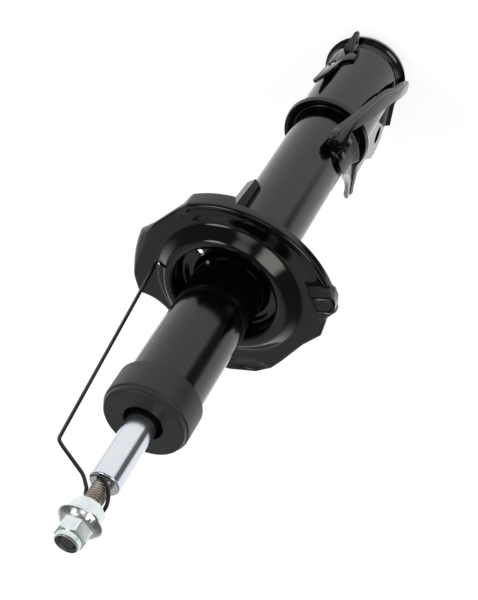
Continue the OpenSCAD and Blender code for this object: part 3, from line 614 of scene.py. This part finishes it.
def make_rod():
    """The ground rod with rounded shoulders. Its stud is a bare core that carries the thread."""
    section = [(0, NOSE_Z), (NOSE_R - NOSE_EDGE, NOSE_Z), (NOSE_R, NOSE_Z + NOSE_EDGE), (NOSE_R, ROD_LOW)]
    section += [(ROD_R - ROD_EDGE, ROD_LOW), (ROD_R, ROD_LOW + ROD_EDGE)] + [(ROD_R, z) for z in ROD_ROWS]
    section += arc(ROD_R - SHOULDER_EDGE, SHOULDER_Z - SHOULDER_EDGE, SHOULDER_EDGE, 0, 90, 5)
    section += [(THREAD_ROOT + STUD_EDGE, SHOULDER_Z), (THREAD_ROOT, SHOULDER_Z + STUD_EDGE)]
    section += [(THREAD_ROOT, STUD_TOP - STUD_EDGE), (THREAD_ROOT - STUD_EDGE, STUD_TOP), (0, STUD_TOP)]
    rod = lathe("ground_rod", section, 128, chrome)
    rod.data.materials.append(stud_steel)
    rod.data.materials.append(dark_wire_and_painted_shade)
    # The stud's top face takes the dark finish as painted shade, standing for the shade in the recess of the
    # real stud's end.
    stud_low, stud_high = (SHOULDER_Z + 0.1) * MM, (STUD_TOP - STUD_EDGE - 0.1) * MM
    for face in rod.data.polygons:
        if face.center.z > stud_low:
            face.material_index = 1 if face.center.z < stud_high else 2      # its top is dark
    soften(rod, 0, limit=30)
    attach(rod, "rod")
    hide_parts("piston_rod")


def make_thread():
    """The stud's thread: one ridge wound from the shoulder to the tip, faded out and closed at both ends."""
    steps, wide = THREAD_STEPS, len(THREAD_RIDGE)
    count = int((STUD_TOP - THREAD_SHORT - SHOULDER_Z) / THREAD_PITCH * steps)
    points = []
    for i in range(count + 1):
        fade = smooth_step(0, steps * FADE_IN, i) * smooth_step(0, steps * FADE_OUT, count - i)
        for rise, out in THREAD_RIDGE:
            height = THREAD_SUNK + THREAD_PROUD + (THREAD_CREST - THREAD_ROOT) * out
            r = THREAD_ROOT - THREAD_SUNK + height * fade
            z = SHOULDER_Z + THREAD_START + THREAD_PITCH * i / steps + rise
            points.append(around(360 * i / steps, r, 0, z))

    def at(i, k):
        return i * wide + k

    top = wide - 1
    faces = [(at(i, k), at(i + 1, k), at(i + 1, k + 1), at(i, k + 1))
             for i in range(count) for k in range(top)]
    faces += [(at(i, top), at(i + 1, top), at(i + 1 + steps, 0), at(i + steps, 0))
              for i in range(count - steps)]
    lower_end = [at(i, 0) for i in range(steps + 1)] + [at(0, k) for k in range(top, 0, -1)]
    upper_end = [at(i, top) for i in range(count - steps, count + 1)]
    upper_end += [at(count, k) for k in range(top - 1, -1, -1)]
    for end in (lower_end, upper_end):
        points.append((0, 0, sum(points[corner][2] for corner in end) / len(end)))
        faces += [(a, b, len(points) - 1) for a, b in zip(end, end[1:] + end[:1])]
    thread = new_piece("stud_thread", points, faces, stud_steel)
    soften(thread, 0, limit=25)
    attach(thread, "rod")


# ---- hose bracket ----

HOSE_R, HOSE_T = 29.5, 2.2                   # inner radius of the saddle, and its sheet
HOSE_FROM, HOSE_TO, HOSE_STEPS = 98.0, 138.0, 30
HOSE_LOW, HOSE_HIGH = 16.0, 60.0
SCOOP_TURN, SCOOP_R = 90.0, 20.0             # scoop out of the saddle's upper corner
RIVET_TURN, RIVET_Z, RIVET_HOLE = 129.5, 44.8, 3.6
EAR_TURN, EAR_Z, EAR_LENGTH, EAR_HALF = 109.0, 29.0, 20.8, 6.2
EAR_LEAN, EAR_FOLD = 69.0, 22.0
EAR_ROOT, EAR_GAP = 0.8, 0.8                 # its start behind its bend, and the gap beside it in its window
EAR_HOLE = (-2.7, 22.5, 1.3)                 # offset, height and radius
WING_TURN, WING_BEND, WING_FLARE = 125.0, 50.0, 5.5 / 32

# Half of the ear along and across its middle line, and the wing's outline as offset and height
EAR_LEAF = [(-EAR_ROOT, 0), (-EAR_ROOT, EAR_HALF), (3, EAR_HALF), (11, 3.9), (EAR_LENGTH - 2, 2.1),
            (EAR_LENGTH, 0)]
WING = [(-6, 42), (6.5, 42), (7, 60), (6.8, 68), (5.4, 76), (3.6, 78.5), (1.8, 77.5), (-3, 64)]

# The rivet's rings: how far they stand out from the saddle's inner face, and their radius
RIVET_RINGS = [(-0.2, 2.6), (0.9, 2.6), (1.3, 2.3), (1.5, 1.4), (1.2, 0.8)]


def make_saddle():
    """The curved plate on the knuckle bracket, with the ear's window and the rivet's hole."""
    outer = HOSE_R + HOSE_T
    section = [(HOSE_R, HOSE_LOW), (outer, HOSE_LOW), (outer, HOSE_HIGH), (HOSE_R, HOSE_HIGH)]
    turns = [HOSE_FROM + (HOSE_TO - HOSE_FROM) * i / HOSE_STEPS for i in range(HOSE_STEPS + 1)]
    saddle = loft("hose_saddle", [[around(turn, r, 0, z) for r, z in section] for turn in turns], black_paint)
    half = EAR_HALF + EAR_GAP
    window = [(-half, 14), (half, 14), (half, 26), (half - 2, 28.5), (2 - half, 28.5), (-half, 26)]
    punch(saddle, EAR_TURN, window)
    punch(saddle, SCOOP_TURN, circle(0, HOSE_HIGH, SCOOP_R, 36))
    punch(saddle, RIVET_TURN, circle(0, RIVET_Z, RIVET_HOLE, 24))
    return saddle


def make_ear_leaf(side):
    """One half of the ear, bent out of the window and folded up from the ear's middle line."""
    (lean_out, lean_down), (across, rise) = heading(EAR_LEAN), heading(EAR_FOLD)
    layers = []
    for depth in (-HOSE_T / 2, HOSE_T / 2):
        layer = []
        for u, v in EAR_LEAF:
            lift = v * rise + depth
            out = HOSE_R + HOSE_T / 2 + u * lean_out + lift * lean_down
            layer.append(around(EAR_TURN, out, side * v * across, EAR_Z - u * lean_down + lift * lean_out))
        layers.append(layer)
    return loft("ear_leaf", layers, black_paint)


def make_wing():
    """The wing that leans away from the tube above its bend."""
    layers = [[around(WING_TURN, out + max(0, z - WING_BEND) * WING_FLARE, v, z) for v, z in WING]
              for out in (HOSE_R - 0.6, HOSE_R + HOSE_T - 0.4)]
    wing = loft("wing", layers, black_paint)
    punch(wing, RIVET_TURN, circle(0, RIVET_Z, RIVET_HOLE, 24))
    return wing


def make_hose_bracket():
    """Saddle, folded ear and leaning wing as one piece."""
    saddle = make_saddle()
    ear = [make_ear_leaf(side) for side in (-1, 1)]
    punch(ear[0], EAR_TURN, circle(*EAR_HOLE, 20), reach=48.0)
    wing = make_wing()
    pick(saddle, wing, *ear)
    bpy.ops.object.join()
    soften(saddle, 0.4, limit=40)
    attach(saddle, "strut_body")
    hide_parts("hose_bracket")


def make_rivet():
    """The rivet that shows through the hole of saddle and wing."""
    rings = [[around(RIVET_TURN, HOSE_R + out, v, z) for v, z in circle(0, RIVET_Z, r, 32)]
             for out, r in RIVET_RINGS]
    rivet = loft("saddle_rivet", rings, bright_zinc)
    soften(rivet, 0)
    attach(rivet, "strut_body")


# ---- side bracket's arm ----

ARM_R = 36.2                                 # distance of the arm's front edge from the axis
ARM_BEAD = 1.9                               # radius of its rolled edge
BEAD_TIP, BEAD_FADE = 0.4, 7                 # radius at its ends, and the rings over which it grows
ARM_EDGE = [(7, 14), (11.5, 24), (14.5, 33), (17.2, 43.5), (21, 53), (23.6, 65), (25.8, 80), (28.1, 96),
            (30, 115), (31.3, 128), (31.9, 136), (31.6, 141.5)]       # y and height along the edge


def smooth_path(path, steps):
    """A Catmull-Rom curve through the points of a path, with so many steps between two of them."""
    fine = []
    for k in range(len(path) - 1):
        a, b = path[k], path[k + 1]
        before, after = path[max(0, k - 1)], path[min(len(path) - 1, k + 2)]
        for step in range(steps):
            t = step / steps
            fine.append(0.5 * (2 * a + (b - before) * t + (2 * before - 5 * a + 4 * b - after) * t * t
                               + (3 * a - before - 3 * b + after) * t * t * t))
    return fine + [path[-1]]


def make_arm_edge():
    """The rolled edge along the front of the side bracket's arm, drawn in at both ends."""
    path = smooth_path([Vector((math.sqrt(ARM_R ** 2 - y * y), y, z)) for y, z in ARM_EDGE], 6)
    last = len(path) - 1
    rings = []
    for k, point in enumerate(path):
        along = (path[min(k + 1, last)] - path[max(k - 1, 0)]).normalized()
        outward = Vector((point.x, point.y, 0)).normalized()
        across = along.cross(outward).normalized()
        grown = smooth_step(0, BEAD_FADE, k) * smooth_step(0, BEAD_FADE, last - k)
        r = BEAD_TIP + (ARM_BEAD - BEAD_TIP) * grown
        rings.append([tuple(point + u * outward + v * across) for u, v in circle(0, 0, r, 16)])
    edge = loft("arm_rolled_edge", rings, black_paint)
    soften(edge, 0, limit=60)
    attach(edge, "strut_body")


# ---- parts with rounded edges ----

# Node, name of the rounded piece, and radius of its edges
ROUNDED = [("side_bracket", "rolled_arm", 0.7), ("hex_nut", "lock_hexagon", 0.22),
           ("flange_nut", "flanged_hexagon", 0.2)]


def make_rounded_copy(name, label, edge):
    """The same part with its sharp edges rounded like a pressed or forged one."""
    piece = nodes[name].copy()
    piece.data = nodes[name].data.copy()
    piece.name = label
    bpy.context.scene.collection.objects.link(piece)
    work = bmesh.new()
    work.from_mesh(piece.data)
    bmesh.ops.remove_doubles(work, verts=work.verts, dist=1e-6)
    bmesh.ops.dissolve_limit(work, angle_limit=math.radians(0.5), verts=work.verts, edges=work.edges)
    work.to_mesh(piece.data)
    work.free()
    soften(piece, edge)
    return piece


make_seat()
make_stop()
make_rod()
make_thread()
make_hose_bracket()
make_rivet()
make_arm_edge()
for name, label, edge in ROUNDED:
    piece = make_rounded_copy(name, label, edge)
    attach(piece, "strut_body" if name == "side_bracket" else "rod")
    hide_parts(name)


# ---- studio ----

# Patches of the light tent: azimuth and elevation of the centre, inner and outer angle of the soft edge, and
# the brightness of a lamp or the depth of the gap
SOFT_LAMPS = [(158, 61, 5, 13, 5.4), (33, 53, 8, 17, 3.9), (92, 61, 4, 13, 1.7), (-107, 40, 18, 62, 0.52)]
DARK_GAP = (22, -29, 12, 24, 0.9)
TENT_LOW, TENT_HIGH = 1.16, 0.13             # brightness of the tent below and above
FLOOR_GAP, FLOOR_SIZE = 0.0005, 40.0
FLOOR_GLOW, FLOOR_GREY = 0.82, 0.42          # light that the camera adds to the floor, and its colour

CAMERA_AT = (201.91, 632.57, 905.89)
CAMERA_RIGHT = (0.91613, 0.09629, -0.38916)
CAMERA_DOWN = (0.33942, -0.70284, 0.62514)
CAMERA_FORWARD = (-0.21332, -0.70480, -0.67658)


def light_patch(tree, place, patch, at):
    """Mask of a round patch of the tent."""
    azimuth, elevation, inner, outer = patch
    (ux, uy), (level, up) = heading(azimuth), heading(elevation)
    dot = add_node(tree, "ShaderNodeVectorMath", at, operation="DOT_PRODUCT")
    tree.links.new(place, dot.inputs[0])
    dot.inputs[1].default_value = (ux * level, uy * level, up)
    edge = add_node(tree, "ShaderNodeMapRange", (at[0] + 180, at[1]), interpolation_type="SMOOTHSTEP",
                    in_From_Min=heading(outer)[0], in_From_Max=heading(inner)[0])
    tree.links.new(dot.outputs["Value"], edge.inputs["Value"])
    return edge.outputs["Result"]


def make_studio_world():
    """A tent that is white below and dim above, with soft lamps overhead and a dark gap on one side."""
    world = bpy.data.worlds.new("studio tent")
    bpy.context.scene.world = world
    world.use_nodes = True
    tree = world.node_tree
    place = add_node(tree, "ShaderNodeTexCoord", (-1500, 0)).outputs["Generated"]
    split = add_node(tree, "ShaderNodeSeparateXYZ", (-1300, 300))
    tree.links.new(place, split.inputs[0])
    height = add_node(tree, "ShaderNodeMapRange", (-1100, 300), interpolation_type="SMOOTHSTEP",
                      in_From_Min=-0.15, in_From_Max=0.30, in_To_Min=TENT_LOW, in_To_Max=TENT_HIGH)
    tree.links.new(split.outputs["Z"], height.inputs["Value"])
    *patch, depth = DARK_GAP
    gap = maths(tree, "MULTIPLY", (-850, 60), light_patch(tree, place, patch, (-1100, 60)), depth)
    keep = maths(tree, "SUBTRACT", (-700, 60), 1.0, gap)
    light = maths(tree, "MULTIPLY", (-550, 200), height.outputs["Result"], keep)
    for row, (*patch, brightness) in enumerate(SOFT_LAMPS):
        mask = light_patch(tree, place, patch, (-1100, -200 - 200 * row))
        lamp = maths(tree, "MULTIPLY", (-550, -200 - 200 * row), mask, brightness)
        light = maths(tree, "MAXIMUM", (-400, -200 * row), light, lamp)
    rays = add_node(tree, "ShaderNodeLightPath", (-650, 450))
    shown = add_node(tree, "ShaderNodeMix", (-150, 200), data_type="FLOAT")
    tree.links.new(rays.outputs["Is Camera Ray"], shown.inputs[0])
    tree.links.new(light, shown.inputs[2])
    shown.inputs[3].default_value = 1.0
    back = tree.nodes["Background"]
    back.inputs["Color"].default_value = (1, 1, 1, 1)
    tree.links.new(shown.outputs[0], back.inputs["Strength"])


def make_floor():
    """A wide floor under the strut. It keeps a soft shadow and shows white to the camera."""
    bpy.ops.object.select_all(action="DESELECT")
    bpy.ops.mesh.primitive_plane_add(size=FLOOR_SIZE, location=(0, 0, cad_box[0][2] - FLOOR_GAP))
    floor = bpy.context.object
    floor.name = "floor"
    floor.visible_glossy = False
    made = bpy.data.materials.new("white floor")
    made.use_nodes = True
    tree = made.node_tree
    tree.nodes.clear()
    rays = add_node(tree, "ShaderNodeLightPath", (-500, 300))
    glow = add_node(tree, "ShaderNodeEmission", (-300, 100), in_Strength=FLOOR_GLOW)
    none = add_node(tree, "ShaderNodeEmission", (-300, 0), in_Strength=0.0)
    matt = add_node(tree, "ShaderNodeBsdfDiffuse", (-300, -100), in_Color=as_default((FLOOR_GREY,) * 3))
    shown = add_node(tree, "ShaderNodeMixShader", (-50, 100))
    both = add_node(tree, "ShaderNodeAddShader", (150, 0))
    surface = add_node(tree, "ShaderNodeOutputMaterial", (350, 0))
    tree.links.new(rays.outputs["Is Camera Ray"], shown.inputs[0])
    tree.links.new(none.outputs[0], shown.inputs[1])
    tree.links.new(glow.outputs[0], shown.inputs[2])
    tree.links.new(shown.outputs[0], both.inputs[0])
    tree.links.new(matt.outputs[0], both.inputs[1])
    tree.links.new(both.outputs[0], surface.inputs["Surface"])
    floor.data.materials.append(made)


def make_camera():
    camera = bpy.data.objects.new("camera", bpy.data.cameras.new("camera"))
    bpy.context.scene.collection.objects.link(camera)
    axes = (Vector(CAMERA_RIGHT), -Vector(CAMERA_DOWN), -Vector(CAMERA_FORWARD))
    camera.matrix_world = Matrix.Translation(Vector(CAMERA_AT) * MM) @ Matrix(axes).transposed().to_4x4()
    camera.data.lens = 80.80
    camera.data.sensor_width = 36
    camera.data.clip_start = 0.02
    camera.data.clip_end = 100
    bpy.context.scene.camera = camera


make_studio_world()
make_floor()
make_camera()
bpy.context.scene.view_settings.view_transform = "Standard"
